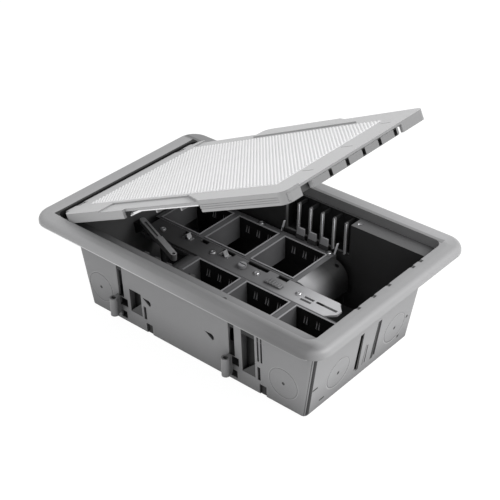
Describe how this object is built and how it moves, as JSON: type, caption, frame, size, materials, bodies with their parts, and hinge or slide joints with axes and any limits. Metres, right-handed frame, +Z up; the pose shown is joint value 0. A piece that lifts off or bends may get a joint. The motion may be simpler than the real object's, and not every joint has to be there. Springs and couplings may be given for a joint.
{
  "type": "floor socket box",
  "caption": "Recessed floor box with a domed trim frame, a hinged lid with sliding cable exits, and two rows of open square module sockets over a moulded tub.",
  "frame": {"origin": "centre of the tub's underside", "axes": "+Z up, +X along the long side away from the lid's hinge, +Y towards the rear row of sockets; the lid is open by 24.9 degrees at rest"},
  "size_m": [0.31, 0.204, 0.2091],
  "materials": {
    "box_plastic": "fine satin moulded texture",
    "trim_plastic": "fine satin moulded texture",
    "row_plastic": "satin",
    "rail_plastic": "satin",
    "lid_plastic": "satin",
    "plate_plastic": "satin with fine diagonal ridges",
    "steel": "plain bright"
  },
  "bodies": {
    "box": {"tub": "box_plastic", "trim_frame": "trim_plastic", "rear_socket_row": "row_plastic", "front_socket_row": "row_plastic", "centre_rail": "rail_plastic", "rail_clips": "steel", "row_screws": "steel", "rail_screws": "steel", "rear_cable_guide": "rail_plastic", "front_cable_guide": "rail_plastic", "front_cable_arm": "rail_plastic"},
    "lid": {"lid_frame": "lid_plastic", "lid_plate": "plate_plastic", "lid_stiffener": "steel", "lid_screws": "steel", "hinge_pins": "steel", "front_guide_strip": "steel", "rear_guide_strip": "steel", "latch_track": "steel"},
    "front_cover": {"front_shutter": "lid_plastic"},
    "rear_cover": {"rear_shutter": "lid_plastic"},
    "latch": {"latch_slider": "lid_plastic"},
    "lock": {"rail_lock": "rail_plastic"},
    "knob": {"rail_knob": "row_plastic"}
  },
  "joints": [
    {"name": "lid_hinge", "type": "hinge", "parent": "box", "child": "lid", "pos_m": [-0.1341, 0, 0.0915], "axis": [0, -1, 0], "range_deg": [-24.9, 75.1]},
    {"name": "front_cover_slide", "type": "slide", "parent": "lid", "child": "front_cover", "axis": [0.907, 0, 0.421], "range_m": [-0.0936, 0]},
    {"name": "rear_cover_slide", "type": "slide", "parent": "lid", "child": "rear_cover", "axis": [0.907, 0, 0.421], "range_m": [-0.078, 0]},
    {"name": "latch_slide", "type": "slide", "parent": "lid", "child": "latch", "axis": [0, 1, 0], "range_m": [-0.013, 0.005]},
    {"name": "lock_slide", "type": "slide", "parent": "box", "child": "lock", "axis": [1, 0, 0], "range_m": [0, 0.0045]},
    {"name": "knob_turn", "type": "hinge", "parent": "box", "child": "knob", "pos_m": [-0.004, 0, 0.0526], "axis": [0, 0, 1], "range_deg": [-90, 90]}
  ]
}
